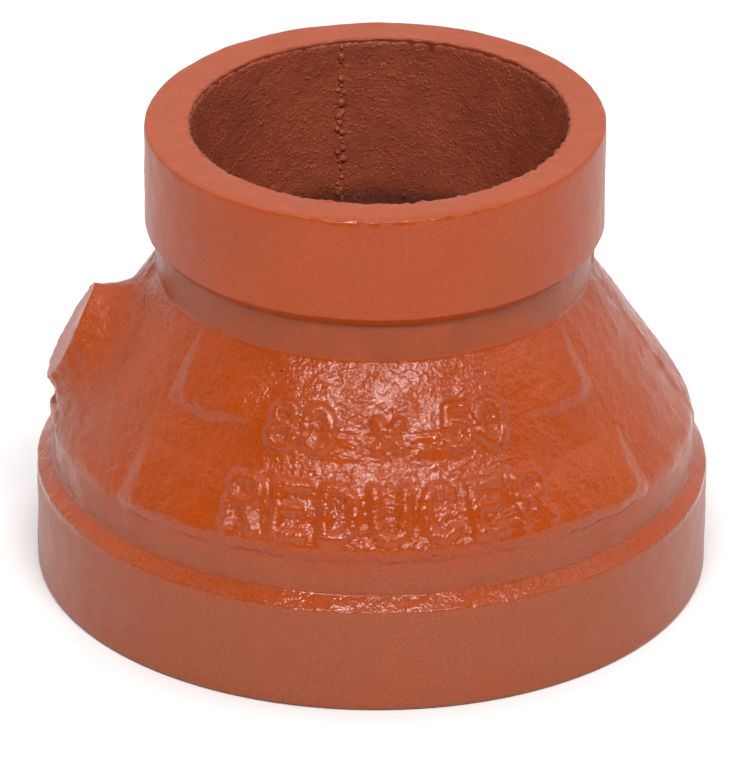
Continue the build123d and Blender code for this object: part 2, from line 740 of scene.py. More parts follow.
@dataclass(frozen=True)
class EnamelBead:
    """Paint that has drawn up along an edge and dried in uneven beads."""

    corner: str
    width: float
    depth: float
    grain: float
    seed: int
    centre: float = 4.0
    half_angle: float = 34.0
    sink: float = 0.0

    def relief(self, points: SkinPoints) -> np.ndarray:
        """How far the bead lifts the skin.

        Args:
            points: the skin's points.

        Returns:
            The lift at each point, in mm.
        """
        away = points.along - points.outline.middle(self.corner)
        uneven = Ripple(self.grain, self.seed).at(points.places())
        front = bell((points.turn - self.centre), self.half_angle)
        return bell(away, self.width) * (self.depth * uneven - self.sink) * front


@dataclass(frozen=True)
class Band:
    """A belt round the casting between two corners of its half section, its edges soft, in mm."""

    first: str
    last: str
    rise: tuple[float, float]
    fall: tuple[float, float]

    def at(self, points: SkinPoints) -> np.ndarray:
        """How far each point is inside the belt.

        Args:
            points: the skin's points.

        Returns:
            1 between the two corners and 0 beyond them, fading over rise and over fall, which
            are counted from the middle of the first corner and of the last.
        """
        first = points.outline.middle(self.first)
        last = points.outline.middle(self.last)
        entered = smooth_step(first + self.rise[0], first + self.rise[1], points.along)
        return entered * (1.0 - smooth_step(last + self.fall[0], last + self.fall[1], points.along))


@dataclass(frozen=True)
class Patch:
    """A round patch on the outside: its place and reach in degrees and in mm, and its strength."""

    turn: float
    turn_reach: float
    height: float
    height_reach: float
    strength: float

    def at(self, points: SkinPoints) -> np.ndarray:
        """The patch's strength at each point."""
        near = bell(points.turn - self.turn, self.turn_reach)
        return self.strength * near * bell(points.height - self.height, self.height_reach)


@dataclass(frozen=True)
class CastSkinAndPaintedShade:
    """Where the mould's sand shows, how rippled the enamel is, where the skin may be uneven, and
    where shade and reflection are painted into the colour, as masks from 0 to 1.
    """

    sand_belt: Band = Band("cone foot", "cone neck", (-2.0, 2.0), (-1.0, 3.0))
    sand_everywhere: float = 0.10
    sand_on_cone: float = 0.16
    sand_on_sides: float = 0.42
    sides: tuple[float, float] = (50.0, 72.0)
    sand_patch: Patch = Patch(-78.0, 22.0, 24.0, 9.0, 0.75)
    # painted shade and reflection on the large end: where it fades out, how uneven it is, the
    # shoulder left unshaded, and a patch beside the stub
    shade_until: tuple[float, float] = (-0.8, 1.5)
    shade_cloud: float = 0.12
    shade_length: float = 14.0
    bright_shoulder: float = 1.5
    shade_patch: Patch = Patch(-76.0, 14.0, 22.5, 5.5, 0.7)
    glossy_belt: Band = Band("large shoulder", "cone neck", (-0.8, 0.0), (-0.3, 0.5))
    calm_belt: Band = Band("large shoulder", "cone foot", (2.0, 3.0), (-1.5, 0.0))
    calm: float = 0.75
    calm_on_flat: float = 0.7
    ripple_everywhere: float = 0.08
    ripple_patches: tuple[float, float] = (-0.55, 0.75)
    patch_length: float = 7.0
    ripple_least: float = 0.3
    ripple_away: float = 0.14
    front: tuple[float, float] = (4.0, 45.0)
    stub_flank: tuple[float, float] = (-72.0, 12.0)
    rim: tuple[float, float] = (5.0, 24.0)
    rim_reach: float = 0.6
    rim_ripple: float = 0.34
    # painted shadow on the small groove's floor, under the small land
    groove_shadow_belt: Band = Band("cone neck", "small groove", (-0.4, 0.6), (0.0, 0.8))
    groove_shadow_low: float = 0.65
    groove_shadow_cloud: tuple[float, float] = (0.85, 0.25)
    groove_shadow_length: float = 5.0
    ease: float = 1.2
    closing: tuple[float, float] = (1.5, 0.5)

    def sand(self, points: SkinPoints, sawn: np.ndarray) -> np.ndarray:
        """How much of the mould's sand shows through the enamel.

        Args:
            points: the skin's points.
            sawn: the mask of the sawn flat, which is smooth.

        Returns:
            The mask at each point.
        """
        side = smooth_step(*self.sides, np.abs(points.turn))
        cone = self.sand_belt.at(points) * (self.sand_on_cone + self.sand_on_sides * side)
        total = self.sand_everywhere + cone + self.sand_patch.at(points)
        return np.clip(total, 0.0, 1.0) * (1.0 - sawn)

    def tone(self, points: SkinPoints) -> np.ndarray:
        """How much shade and reflection is painted on: the large end is darker and pinker, in place
        of the weaker light and the stronger reflection of the pale room that it gets.

        Args:
            points: the skin's points.

        Returns:
            The mask at each point.
        """
        outline = points.outline
        full = outline.middle("large groove") + self.shade_until[0]
        gone = outline.middle("cone foot") + self.shade_until[1]
        large_end = 1.0 - smooth_step(full, gone, points.along)
        uneven = self.shade_cloud * Ripple(self.shade_length, seed=51).at(points.places())
        # the shoulder faces upwards into more light, so the painted shade is taken off it
        shoulder = (outline.middle("large shoulder") + outline.middle("large groove")) / 2
        large_end *= 1.0 - bell(points.along - shoulder, self.bright_shoulder)
        return np.clip(large_end + self.shade_patch.at(points) + uneven, 0.0, 1.0)

    def rippled(self, points: SkinPoints, sawn: np.ndarray) -> np.ndarray:
        """How strongly the enamel is rippled: on the cone in patches, and hardly on the lands.

        Args:
            points: the skin's points.
            sawn: the mask of the sawn flat, which is calmer.

        Returns:
            The mask at each point.
        """
        patches = Ripple(self.patch_length, seed=61).at(points.places())
        patches = smooth_step(*self.ripple_patches, patches)
        patches = self.ripple_least + (1.0 - self.ripple_least) * patches
        front = bell(points.turn - self.front[0], self.front[1])
        front = np.maximum(front, bell(points.turn - self.stub_flank[0], self.stub_flank[1]))
        front = self.ripple_away + (1.0 - self.ripple_away) * front
        strength = self.ripple_everywhere + self.glossy_belt.at(points) * patches * front
        strength *= (1.0 - self.calm * self.calm_belt.at(points)) * (1.0 - self.calm_on_flat * sawn)
        rim = bell(points.along - points.outline.middle("small land top"), self.rim_reach)
        rim *= bell(points.turn - self.rim[0], self.rim[1])
        return np.maximum(strength, self.rim_ripple * rim)

    def shaded(self, points: SkinPoints) -> np.ndarray:
        """Painted shadow on the floor of the small groove, darkest just under the small land that
        overhangs it.

        Args:
            points: the skin's points.

        Returns:
            The mask at each point.
        """
        outline = points.outline
        # the painted shadow is strongest next to the small land and weaker towards the cone
        deeper = smooth_step(
            outline.middle("cone neck"), outline.middle("small groove"), points.along)
        deeper = self.groove_shadow_low + (1.0 - self.groove_shadow_low) * deeper
        even, cloud = self.groove_shadow_cloud
        uneven = even + cloud * Ripple(self.groove_shadow_length, seed=52).at(points.places())
        return np.clip(self.groove_shadow_belt.at(points) * deeper * uneven, 0.0, 1.0)

    def free(self, points: SkinPoints) -> np.ndarray:
        """1 where the skin may be uneven, and 0 on the flat end that the casting stands on.

        Args:
            points: the skin's points.

        Returns:
            The mask at each point.
        """
        foot = points.outline.spans["large land foot"][1]
        last = points.outline.length
        closing = smooth_step(last - self.closing[0], last - self.closing[1], points.along)
        return smooth_step(foot, foot + self.ease, points.along) * (1.0 - closing)


# ---------------------------------------------------------------- node trees


class NodeSheet:
    """A node tree being drawn up, for shaders and for geometry alike."""

    def __init__(self, tree: bpy.types.NodeTree) -> None:
        """Keeps the tree that nodes are added to."""
        self.tree = tree

    def add(self, kind: str, inputs: dict | None = None, **settings: object) -> bpy.types.Node:
        """Adds a node.

        Args:
            kind: the node's type.
            inputs: socket name or number to a value, or to the socket that feeds it.
            settings: attributes of the node.

        Returns:
            The node.
        """
        node = self.tree.nodes.new(kind)
        for name, value in settings.items():
            setattr(node, name, value)
        for key, value in (inputs or {}).items():
            if isinstance(value, bpy.types.NodeSocket):
                self.tree.links.new(value, node.inputs[key])
            else:
                node.inputs[key].default_value = value
        return node

    def maths(self, operation: str, first: object, second: object = 0.0) -> bpy.types.NodeSocket:
        """One sum of two numbers or sockets."""
        node = self.add("ShaderNodeMath", {0: first, 1: second}, operation=operation)
        return node.outputs[0]

    def ramp(self, value: object, low: float, high: float, to_low: float = 0.0, to_high: float = 1.0,
             ) -> bpy.types.NodeSocket:
        """A clamped straight-line change of range."""
        node = self.add("ShaderNodeMapRange", {"Value": value, "From Min": low, "From Max": high,
                                               "To Min": to_low, "To Max": to_high})
        return node.outputs["Result"]

    def mix(self, share: object, first: object, second: object) -> bpy.types.NodeSocket:
        """One colour fading into another."""
        node = self.add("ShaderNodeMix", {0: share, 6: first, 7: second}, data_type="RGBA")
        return node.outputs[2]


class GeometryTree:
    """A Geometry Nodes tree with named inputs that is applied to an object and left behind."""

    def __init__(self, name: str) -> None:
        """Starts the tree with one geometry going in and one coming out.

        Args:
            name: the tree's name.
        """
        self.group = bpy.data.node_groups.new(name, "GeometryNodeTree")
        for way in ("OUTPUT", "INPUT"):
            self.group.interface.new_socket(
                "Geometry", in_out=way, socket_type="NodeSocketGeometry")
        self.sheet = NodeSheet(self.group)
        self.entry = self.sheet.add("NodeGroupInput")
        self.values: dict[str, object] = {}

    @property
    def geometry(self) -> bpy.types.NodeSocket:
        """The geometry that goes in."""
        return self.entry.outputs["Geometry"]

    def number(self, name: str, value: float) -> bpy.types.NodeSocket:
        """A named number that goes in, with the value that it is given."""
        return self.named(name, "NodeSocketFloat", value)

    def count(self, name: str, value: int) -> bpy.types.NodeSocket:
        """A named whole number that goes in, with the value that it is given."""
        return self.named(name, "NodeSocketInt", value)

    def named(self, name: str, kind: str, value: object) -> bpy.types.NodeSocket:
        """Adds a named input.

        Args:
            name: its name.
            kind: the type of its socket.
            value: the value that it is given.

        Returns:
            The socket that the value comes out of.
        """
        socket = self.group.interface.new_socket(name, in_out="INPUT", socket_type=kind)
        self.values[socket.identifier] = value
        return self.entry.outputs[name]

    def mask(self, mask: Mask) -> bpy.types.NodeSocket:
        """A mask read from the points of whatever geometry the tree is working on."""
        node = self.sheet.add("GeometryNodeInputNamedAttribute", {"Name": mask.value},
                              data_type="FLOAT")
        return node.outputs[0]

    def close(self, geometry: bpy.types.NodeSocket, material: bpy.types.Material) -> None:
        """Ends the tree: smooth shading, real geometry, and the finish.

        Args:
            geometry: what comes out of the tree's last step.
            material: the finish.
        """
        finish = self.named("Finish", "NodeSocketMaterial", material)
        smooth = self.sheet.add("GeometryNodeSetShadeSmooth", {"Geometry": geometry})
        real = self.sheet.add("GeometryNodeRealizeInstances", {"Geometry": smooth.outputs[0]})
        dressed = self.sheet.add("GeometryNodeSetMaterial",
                                 {"Geometry": real.outputs[0], "Material": finish})
        self.sheet.add("NodeGroupOutput", {"Geometry": dressed.outputs[0]})

    def run(self, source: bpy.types.Object, name: str) -> bpy.types.Object:
        """Applies the tree.

        Args:
            source: the object that goes in, which is removed afterwards.
            name: the name of the piece that comes out.

        Returns:
            A plain mesh object with no modifier.
        """
        modifier = source.modifiers.new("tree", "NODES")
        modifier.node_group = self.group
        for identifier, value in self.values.items():
            modifier[identifier] = value
        source.update_tag()
        bpy.context.view_layer.update()
        depsgraph = bpy.context.evaluated_depsgraph_get()
        mesh = bpy.data.meshes.new_from_object(
            source.evaluated_get(depsgraph), preserve_all_data_layers=True, depsgraph=depsgraph)
        mesh.name = name
        source.modifiers.remove(modifier)
        bpy.data.objects.remove(source)
        return link_mesh(mesh, name)


def link_mesh(mesh: bpy.types.Mesh, name: str) -> bpy.types.Object:
    """Puts a mesh into the scene.

    Args:
        mesh: the mesh.
        name: the object's name.

    Returns:
        The object, at the origin, unturned and unscaled.
    """
    piece = bpy.data.objects.new(name, mesh)
    bpy.context.scene.collection.objects.link(piece)
    return piece


# ---------------------------------------------------------------- finishes


class Finish:
    """What every finish shares: a material with its own node sheet and object coordinates."""

    name: str

    def start(self) -> tuple[bpy.types.Material, NodeSheet, bpy.types.NodeSocket]:
        """Starts the finish's material.

        Returns:
            The empty material, its sheet, and the socket of object coordinates in metres.
        """
        material = bpy.data.materials.new(self.name)
        material.use_nodes = True
        material.node_tree.nodes.clear()
        sheet = NodeSheet(material.node_tree)
        return material, sheet, sheet.add("ShaderNodeTexCoord").outputs["Object"]

    @staticmethod
    def noise(sheet: NodeSheet, where: bpy.types.NodeSocket, size: float, detail: float = 2.0,
              ) -> bpy.types.NodeSocket:
        """Noise whose lumps are about size mm across."""
        node = sheet.add("ShaderNodeTexNoise", {"Vector": where, "Scale": 1.0 / (size * MM),
                                                "Detail": detail, "Roughness": 0.55})
        return node.outputs["Fac"]

    @staticmethod
    def masked(sheet: NodeSheet, mask: Mask) -> bpy.types.NodeSocket:
        """A mask stored on the piece's own points."""
        node = sheet.add(
            "ShaderNodeAttribute", attribute_name=mask.value, attribute_type="GEOMETRY")
        return node.outputs["Fac"]


@dataclass(frozen=True)
class OrangeEnamel(Finish):
    """Dipped enamel over an iron casting: glossy, rippled, with sand grain and pinholes, and with
    shade and reflection painted into its colour.
    """

    name: str = "orange_enamel"
    base: Colour = (0.43, 0.062, 0.0046)
    deep: Colour = (0.395, 0.055, 0.0040)
    # painted shade and reflection for the large end: darker and pinker than the enamel
    large_end_shade_colour: Colour = (0.34, 0.076, 0.026)
    speck: Colour = (0.22, 0.031, 0.004)
    bore: Colour = (0.24, 0.038, 0.012)
    # painted shadow colour for the small groove's floor
    groove_shadow: Colour = (0.28, 0.051, 0.006)
    pinhole: Colour = (0.10, 0.02, 0.01)
    gloss: float = 0.34
    roughness: float = 0.065
    matt: float = 0.34
    ripple_size: float = 1.05
    ripple_depth: float = 0.34
    wrinkle_size: float = 0.42
    wrinkle_share: float = 0.45
    grain_size: float = 0.3
    grain_depth: float = 0.014
    pinhole_pitch: float = 8.0
    pinhole_radius: float = 0.2
    pinhole_depth: float = 0.25
    pinhole_share: float = 0.5
    cloud_size: float = 9.0
    cloud_reach: tuple[float, float] = (0.35, 0.7)
    speck_reach: tuple[float, float] = (0.66, 0.34)
    speck_strength: float = 0.55
    inner_reach: tuple[float, float] = (0.97, 1.0)
    matt_reach: tuple[float, float] = (0.085, 0.16)
    sand_depth: float = 0.12
    sand_roughness: float = 0.2

    def colour(self, sheet: NodeSheet, where: bpy.types.NodeSocket, grain: bpy.types.NodeSocket,
               hole: bpy.types.NodeSocket) -> bpy.types.NodeSocket:
        """The enamel's colour: clouded, with painted shade and reflection on the large end, painted
        shadow in the small groove, specks, the bore's colour inside and dark pinholes.

        Args:
            sheet: the material's sheet.
            where: object coordinates.
            grain: the fine grain's noise.
            hole: the mask of the pinholes.

        Returns:
            The colour.
        """
        cloud = self.noise(sheet, where, self.cloud_size, 3.0)
        colour = sheet.mix(sheet.ramp(cloud, *self.cloud_reach), (*self.deep, 1), (*self.base, 1))
        # painted shade and reflection on the large end
        colour = sheet.mix(self.masked(sheet, Mask.LARGE_END_SHADE), colour, (*self.large_end_shade_colour, 1))
        # painted shadow in the small groove
        colour = sheet.mix(self.masked(sheet, Mask.SHADED), colour, (*self.groove_shadow, 1))
        speck = sheet.ramp(grain, *self.speck_reach, 0.0, self.speck_strength)
        colour = sheet.mix(speck, colour, (*self.speck, 1))
        inner = sheet.ramp(self.masked(sheet, Mask.INNER), *self.inner_reach)
        colour = sheet.mix(inner, colour, (*self.bore, 1))
        return sheet.mix(hole, colour, (*self.pinhole, 1))

    def hole(self, sheet: NodeSheet, where: bpy.types.NodeSocket) -> bpy.types.NodeSocket:
        """Scatters the pinholes.

        Args:
            sheet: the material's sheet.
            where: object coordinates.

        Returns:
            Their mask.
        """
        cells = sheet.add("ShaderNodeTexVoronoi",
                          {"Vector": where, "Scale": 1.0 / (self.pinhole_pitch * MM)})
        limit = self.pinhole_radius / self.pinhole_pitch
        tint = sheet.add("ShaderNodeSeparateColor", {"Color": cells.outputs["Color"]})
        some = sheet.maths("GREATER_THAN", tint.outputs[0], self.pinhole_share)
        return sheet.maths("MULTIPLY", some,
                           sheet.ramp(cells.outputs["Distance"], limit * 0.5, limit, 1.0, 0.0))

    def make(self) -> bpy.types.Material:
        """Builds the material.

        Returns:
            The material.
        """
        material, sheet, where = self.start()
        sand = self.masked(sheet, Mask.SAND)
        grain = self.noise(sheet, where, self.grain_size, 3.0)
        hole = self.hole(sheet, where)
        ripple = sheet.maths("ADD", self.noise(sheet, where, self.ripple_size, 1.0), sheet.maths(
            "MULTIPLY", self.noise(sheet, where, self.wrinkle_size, 1.0), self.wrinkle_share))
        ripple_bump = sheet.add("ShaderNodeBump", {
            "Height": ripple, "Distance": self.ripple_depth * MM,
            "Strength": self.masked(sheet, Mask.RIPPLED)})
        grain_bump = sheet.add("ShaderNodeBump", {
            "Height": grain, "Distance": self.grain_depth * MM, "Strength": 1.0,
            "Normal": ripple_bump.outputs[0]})
        sand_bump = sheet.add("ShaderNodeBump", {
            "Height": grain, "Distance": self.sand_depth * MM, "Strength": sand,
            "Normal": grain_bump.outputs[0]})
        hole_bump = sheet.add("ShaderNodeBump", {
            "Height": hole, "Distance": self.pinhole_depth * MM, "Strength": 1.0,
            "Normal": sand_bump.outputs[0]}, invert=True)
        calm = self.masked(sheet, Mask.RIPPLED)
        matt = sheet.ramp(calm, *self.matt_reach, self.matt, self.roughness)
        sandy = sheet.ramp(sand, 0.0, 1.0, 0.0, self.sand_roughness)
        shader = sheet.add("ShaderNodeBsdfPrincipled", {
            "Base Color": self.colour(sheet, where, grain, hole),
            "Roughness": sheet.maths("ADD", matt, sandy),
            "Specular IOR Level": self.gloss, "Normal": hole_bump.outputs[0]})
        sheet.add("ShaderNodeOutputMaterial", {"Surface": shader.outputs[0]})
        return material


@dataclass(frozen=True)
class BoreEnamel(Finish):
    """Thin enamel over the rough sand-cast wall of the waterway, with highlights painted on the
    grains' tops and shade painted between them.
    """

    name: str = "bore_enamel"
    base: Colour = (0.345, 0.071, 0.030)
    # darker enamel for the clouds, and the painted shade between the grains
    shade: Colour = (0.262, 0.053, 0.023)
    # painted highlight for the grains' tops
    crest_highlight: Colour = (0.415, 0.090, 0.040)
    gloss: float = 0.4
    roughness: float = 0.5
    roughness_spread: tuple[float, float] = (0.1, -0.12)
    cloud_size: float = 5.0
    cloud_reach: tuple[float, float] = (0.35, 0.65)
    dust_size: float = 0.25
    dust_share: float = 0.25
    grain_size: float = 0.42
    grain_depth: float = 0.15
    grain_reach: tuple[float, float] = (0.05, 0.75)
    grain_least: float = 0.2
    crest_highlight_reach: tuple[float, float] = (0.35, 0.8)
    gap_shade_reach: tuple[float, float] = (0.35, 0.1)
    gap_shade_strength: float = 0.6

    def make(self) -> bpy.types.Material:
        """Builds the material.

        Returns:
            The material.
        """
        material, sheet, where = self.start()
        broad = self.noise(sheet, where, self.cloud_size, 4.0)
        fine = self.noise(sheet, where, self.dust_size, 2.0)
        cells = sheet.add("ShaderNodeTexVoronoi", {
            "Vector": where, "Scale": 1.0 / (self.grain_size * MM), "Randomness": 1.0})
        grain = sheet.ramp(cells.outputs["Distance"], *self.grain_reach, 1.0, 0.0)
        tint = sheet.add("ShaderNodeSeparateColor", {"Color": cells.outputs["Color"]})
        tall = sheet.maths("MULTIPLY", grain, sheet.ramp(tint.outputs[0], self.grain_least, 1.0))
        height = sheet.maths("ADD", tall, sheet.maths("MULTIPLY", fine, self.dust_share))
        clouded = sheet.ramp(broad, *self.cloud_reach)
        colour = sheet.mix(clouded, (*self.shade, 1), (*self.base, 1))
        # painted highlight on the tops of the grains
        colour = sheet.mix(sheet.ramp(tall, *self.crest_highlight_reach), colour, (*self.crest_highlight, 1))
        # painted shade in the gaps between the grains
        gap = sheet.ramp(grain, *self.gap_shade_reach, 0.0, self.gap_shade_strength)
        colour = sheet.mix(gap, colour, (*self.shade, 1))
        bump = sheet.add("ShaderNodeBump", {
            "Height": height, "Distance": self.grain_depth * MM, "Strength": 1.0})
        rougher, smoother = (self.roughness + change for change in self.roughness_spread)
        shader = sheet.add("ShaderNodeBsdfPrincipled", {
            "Base Color": colour, "Normal": bump.outputs[0], "Specular IOR Level": self.gloss,
            "Roughness": sheet.ramp(fine, 0.3, 0.7, rougher, smoother)})
        sheet.add("ShaderNodeOutputMaterial", {"Surface": shader.outputs[0]})
        return material


@dataclass(frozen=True)
class BenchTop(Finish):
    """Pale matt laminate under the casting."""

    name: str = "bench_top"
    pale: Colour = (0.91, 0.91, 0.91)
    shade: Colour = (0.88, 0.88, 0.885)
    cloud_size: float = 60.0
    roughness: float = 0.7

    def make(self) -> bpy.types.Material:
        """Builds the material.

        Returns:
            The material.
        """
        material, sheet, where = self.start()
        cloud = self.noise(sheet, where, self.cloud_size, 3.0)
        shader = sheet.add("ShaderNodeBsdfPrincipled", {
            "Base Color": sheet.mix(cloud, (*self.pale, 1), (*self.shade, 1)),
            "Roughness": self.roughness})
        sheet.add("ShaderNodeOutputMaterial", {"Surface": shader.outputs[0]})
        return material


# ---------------------------------------------------------------- the casting


@dataclass
class Casting:
    """The one-piece casting: its skin unrolled, refined, given its relief and rolled up."""

    sizes: CastingSizes
    columns: int = 148
    marked_heights: tuple[float, float] = (19.6, 43.4)
    beside: tuple[float, float] = (5.0, 4.0)
    stub_heights: tuple[float, float] = (21.5, 41.5)
    stub_half_angle: float = 11.0
    plates: tuple[MarkingPlate, ...] = (
        MarkingPlate((-51.0, 57.5), (33.2, 42.6)),
        MarkingPlate((-51.5, 58.5), (20.4, 29.2), 0.95, 0.6),
    )
    valley: Valley = Valley((21.6, 22.4, 28.0, 31.4, 34.2, 35.4), (0.0, 0.8, 0.95, 0.7, 0.95, 0.0),
                            40.0, 3.0)
    stub: GateStub = GateStub()
    joint: MouldJoint = MouldJoint()
    rows_of_text: tuple[RaisedText, ...] = (
        RaisedText("80 x 50", 3.5, 32.5, 5.4, 3.6, 7.6),
        RaisedText("REDUCER", 3.5, 23.2, 6.4, 4.4, 9.2),
    )
    beads: tuple[EnamelBead, ...] = (
        EnamelBead("small land top", 0.6, 0.14, 1.6, 31, 6.0, 26.0, 0.2),
        EnamelBead("small mouth", 0.45, 0.12, 1.2, 34, 0.0, 1000.0, 0.02),
        EnamelBead("large shoulder", 0.8, 0.10, 1.3, 32, -6.0),
        EnamelBead("large groove", 0.7, 0.10, 1.3, 33, -6.0),
    )
    skin_and_painted_shade: CastSkinAndPaintedShade = CastSkinAndPaintedShade()
    warp: float = 0.03
    warp_on_cone: float = 0.04
    warped: tuple[tuple[float, float], tuple[float, float]] = ((19.0, 22.0), (40.0, 44.0))
    dimple: float = 0.03
    warp_length: float = 11.0
    dimple_length: float = 4.5
    stub_cover: tuple[float, float] = (0.05, 0.8)

    ON_SEAM = 1e-4
    SEAM_GAP = 1e-7

    def unrolled(self, outline: Outline) -> bmesh.types.BMesh:
        """Lays the skin out flat, finer where there is more to show.

        Args:
            outline: the half section.

        Returns:
            The flat skin, with degrees across and mm along.
        """
        flat = bmesh.new()
        rows = outline.rows()
        turns = np.linspace(-180.0, 180.0, self.columns + 1)
        grid = [[flat.verts.new((turn, row, 0.0)) for turn in turns] for row in rows]
        for lower, upper in zip(grid[:-1], grid[1:]):
            for index in range(self.columns):
                flat.faces.new((lower[index], lower[index + 1], upper[index + 1], upper[index]))
        outside_end = outline.spans["small mouth"][1]
        closing_row = rows[-2]
        self.refine(flat, lambda turn, row: row < outside_end or row > closing_row, 1)
        low, high = (outline.along_outside(height) for height in self.marked_heights)
        upper, lower = self.plates
        marked = upper.angles[0] - self.beside[0], lower.angles[1] + self.beside[1]
        stub_low, stub_high = (outline.along_outside(height) for height in self.stub_heights)

        def detailed(turn: float, row: float) -> bool:
            """Whether the marking or the stub's flat is near.

            Args:
                turn: degrees round the axis.
                row: mm along the half section.

            Returns:
                True where the skin is divided further.
            """
            on_marking = marked[0] < turn < marked[1] and low < row < high
            beside_stub = abs(turn - self.stub.centre) < self.stub_half_angle
            return on_marking or (beside_stub and stub_low < row < stub_high)

        self.refine(flat, detailed, 2)
        return flat

    @staticmethod
    def refine(flat: bmesh.types.BMesh, chosen: Callable[[float, float], bool], cuts: int) -> None:
        """Divides the chosen faces of the unrolled skin.

        Args:
            flat: the unrolled skin.
            chosen: tells from a face's middle whether it is divided.
            cuts: how many cuts each of its edges gets.
        """
        edges = set()
        for face in flat.faces:
            middle = face.calc_center_median()
            if chosen(middle.x, middle.y):
                edges.update(face.edges)
        bmesh.ops.subdivide_edges(flat, edges=list(edges), cuts=cuts, use_grid_fill=True)

    def relief(self, points: SkinPoints) -> tuple[np.ndarray, np.ndarray]:
        """Adds up everything that stands off the half section.

        Args:
            points: the skin's points.

        Returns:
            The lift at each point in mm, and the mask of the sawn flat.
        """
        places = points.places()
        stub, sawn = self.stub.shape(points)
        covered = smooth_step(*self.stub_cover, stub)
        total = np.maximum(self.plates[0].relief(points), self.plates[1].relief(points))
        total = np.maximum(total, self.valley.relief(points))
        for row in self.rows_of_text:
            total += row.relief(points)
        total += self.joint.relief(points) * (1.0 - covered)
        for bead in self.beads:
            total += bead.relief(points)
        on_cone = smooth_step(*self.warped[0], points.height)
        on_cone *= 1.0 - smooth_step(*self.warped[1], points.height)
        warp = self.warp + self.warp_on_cone * on_cone
        outside = 1.0 - points.bore_share
        total += warp * Ripple(self.warp_length, seed=41).at(places) * outside
        dimples = Ripple(self.dimple_length, seed=42).at(places)
        total += self.dimple * dimples * outside * (1.0 - sawn)
        return (total + stub) * self.skin_and_painted_shade.free(points), sawn

    def skin_tree(self, material: bpy.types.Material) -> GeometryTree:
        """The tree that roughens the skin as the sand mould and the enamel left it.

        Args:
            material: the enamel.

        Returns:
            The tree.
        """
        tree = GeometryTree("Cast Skin")
        sheet = tree.sheet
        sand_size = tree.number("Sand Size", 1.35 * MM)
        sand_depth = tree.number("Sand Depth", 0.4 * MM)
        peel_size = tree.number("Peel Size", 2.3 * MM)
        peel_depth = tree.number("Peel Depth", 0.05 * MM)
        seed = tree.number("Seed", 5.0)
        place = sheet.add("GeometryNodeInputPosition").outputs[0]
        normal = sheet.add("GeometryNodeInputNormal").outputs[0]
        sand = tree.mask(Mask.SAND)
        free = tree.mask(Mask.FREE)

        def lumps(size: bpy.types.NodeSocket, depth: bpy.types.NodeSocket, shift: float,
                  ) -> bpy.types.NodeSocket:
            """Noise centred on 0.

            Args:
                size: how wide its lumps are.
                depth: how far it reaches either way.
                shift: added to the seed.

            Returns:
                The noise.
            """
            noise = sheet.add("ShaderNodeTexNoise", {
                "Vector": place, "W": sheet.maths("ADD", seed, shift),
                "Scale": sheet.maths("DIVIDE", 1.0, size), "Detail": 1.5}, noise_dimensions="4D")
            centred = sheet.maths("SUBTRACT", noise.outputs[0], 0.5)
            return sheet.maths("MULTIPLY", centred, sheet.maths("MULTIPLY", depth, 2.0))

        rough = sheet.maths("MULTIPLY", lumps(sand_size, sand_depth, 0.0), sand)
        total = sheet.maths("ADD", rough, lumps(peel_size, peel_depth, 7.0))
        total = sheet.maths("MULTIPLY", total, free)
        offset = sheet.add("ShaderNodeVectorMath", {0: normal, "Scale": total}, operation="SCALE")
        moved = sheet.add("GeometryNodeSetPosition",
                          {"Geometry": tree.geometry, "Offset": offset.outputs[0]})
        tree.close(moved.outputs[0], material)
        return tree

    def build(self, material: bpy.types.Material) -> bpy.types.Object:
        """Builds the casting's skin.

        Args:
            material: its enamel.

        Returns:
            The finished piece.
        """
        outline = self.sizes.outline()
        flat = self.unrolled(outline)
        flat_places = np.array([vert.co[:2] for vert in flat.verts])
        points = SkinPoints(flat_places[:, 0], flat_places[:, 1], outline, self.sizes)
        relief, sawn = self.relief(points)
        places = points.places(relief) * MM
        masks = {
            Mask.SAND: self.skin_and_painted_shade.sand(points, sawn),
            Mask.LARGE_END_SHADE: self.skin_and_painted_shade.tone(points),
            Mask.RIPPLED: self.skin_and_painted_shade.rippled(points, sawn),
            Mask.INNER: points.bore_share,
            Mask.SHADED: self.skin_and_painted_shade.shaded(points),
            Mask.FREE: self.skin_and_painted_shade.free(points),
        }
        for mask, values in masks.items():
            layer = flat.verts.layers.float.new(mask.value)
            for vert, value in zip(flat.verts, values):
                vert[layer] = float(value)
        seam = []
        for vert, place in zip(flat.verts, places):
            on_side = abs(vert.co.x) > 180.0 - self.ON_SEAM
            if on_side or not self.ON_SEAM < vert.co.y < outline.length - self.ON_SEAM:
                seam.append(vert)
            vert.co = place
        bmesh.ops.remove_doubles(flat, verts=seam, dist=self.SEAM_GAP)
        mesh = bpy.data.meshes.new("casting")
        flat.to_mesh(mesh)
        flat.free()
        return self.skin_tree(material).run(link_mesh(mesh, "casting_blank"), "casting")


# ---------------------------------------------------------------- the waterway


